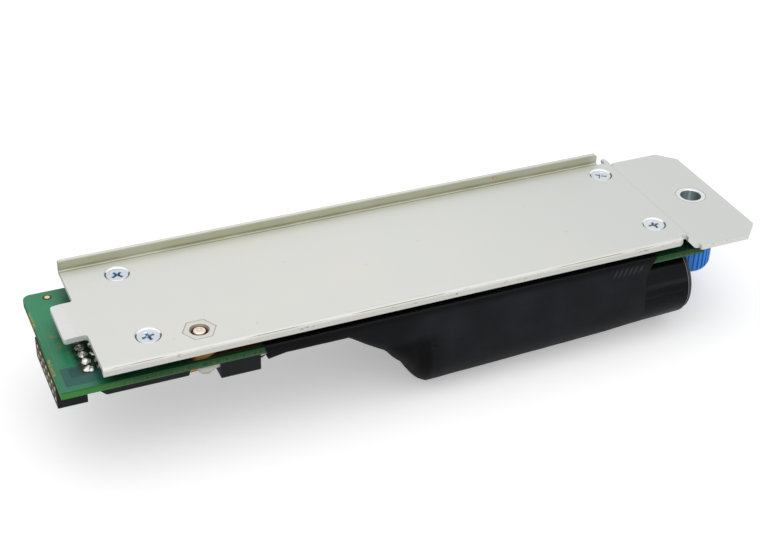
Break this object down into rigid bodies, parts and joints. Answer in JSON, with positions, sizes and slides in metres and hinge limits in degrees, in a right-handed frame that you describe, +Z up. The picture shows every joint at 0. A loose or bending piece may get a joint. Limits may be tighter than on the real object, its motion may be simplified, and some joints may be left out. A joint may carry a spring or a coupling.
{
  "type": "raid battery module",
  "caption": "Battery backup module: sleeved battery cells under a circuit board, on a folded steel carrier with a captive thumbscrew.",
  "frame": {"origin": "on the surface that the module stands on, under the middle of its bounding box", "axes": "+X along the module from the connector to the thumbscrew tab, +Y from the turned down lip to the upright flange, +Z up, square to the carrier plate"},
  "size_m": [0.1629, 0.0404, 0.0294],
  "materials": {
    "zinc_steel": "satin bright zinc",
    "spring_steel": "bright wire",
    "nickel": "rolled nickel strip",
    "gold_plate": "gold flash",
    "solder": "bright solder",
    "copper": "bare copper",
    "blue_plastic": "satin moulded",
    "green_board": "green solder mask",
    "black_film": "glossy shrink film",
    "black_plastic": "moulded",
    "white_plastic": "soft insulation",
    "cream_plastic": "woven sleeve",
    "amber_film": "clear amber film",
    "foam": "closed cell foam",
    "ferrite": "sintered",
    "ceramic_parts": "sintered",
    "fibre_board": "pressed board",
    "can_steel": "nickel plated"
  },
  "bodies": {
    "module": {"carrier_plate": "zinc_steel", "plate_screws": "zinc_steel", "board_spacers": "zinc_steel", "hex_standoff": "zinc_steel", "standoff_screw": "zinc_steel", "captive_ferrule": "zinc_steel", "captive_spring": "spring_steel", "circuit_board": "green_board", "board_pads": "gold_plate", "connector_housing": "black_plastic", "connector_contacts": "gold_plate", "solder_joints": "solder", "charger_chip": "black_plastic", "gauge_chip": "black_plastic", "power_inductor": "ferrite", "power_transistors": "black_plastic", "chip_capacitors": "ceramic_parts", "chip_resistors": "ceramic_parts", "insulating_tape": "amber_film", "foam_strip": "foam", "battery_plug": "black_plastic", "board_lead": "cream_plastic", "lead_end": "copper", "positive_lead": "white_plastic", "negative_lead": "black_plastic", "near_cell": "can_steel", "near_cell_wrap": "black_film", "far_cell": "can_steel", "far_cell_wrap": "black_film", "series_link": "nickel", "lead_tabs": "nickel", "end_insulator": "fibre_board", "left_foam_pad": "foam", "right_foam_pad": "foam", "thermistor": "black_plastic", "shrink_sleeve": "black_film"},
    "captive_carriage": {"captive_washer": "zinc_steel"},
    "captive_fastener": {"captive_screw": "zinc_steel", "thumb_knob": "blue_plastic"}
  },
  "joints": [
    {"name": "captive_slide", "type": "slide", "parent": "module", "child": "captive_carriage", "axis": [0, 0, 1], "range_m": [0, 0.005], "stiffness_N_per_m": 300, "deforming": ["captive_spring"]},
    {"name": "captive_turn", "type": "hinge", "parent": "captive_carriage", "child": "captive_fastener", "pos_m": [0.0747, 0, 0.012], "axis": [0, 0, 1], "continuous": true}
  ]
}
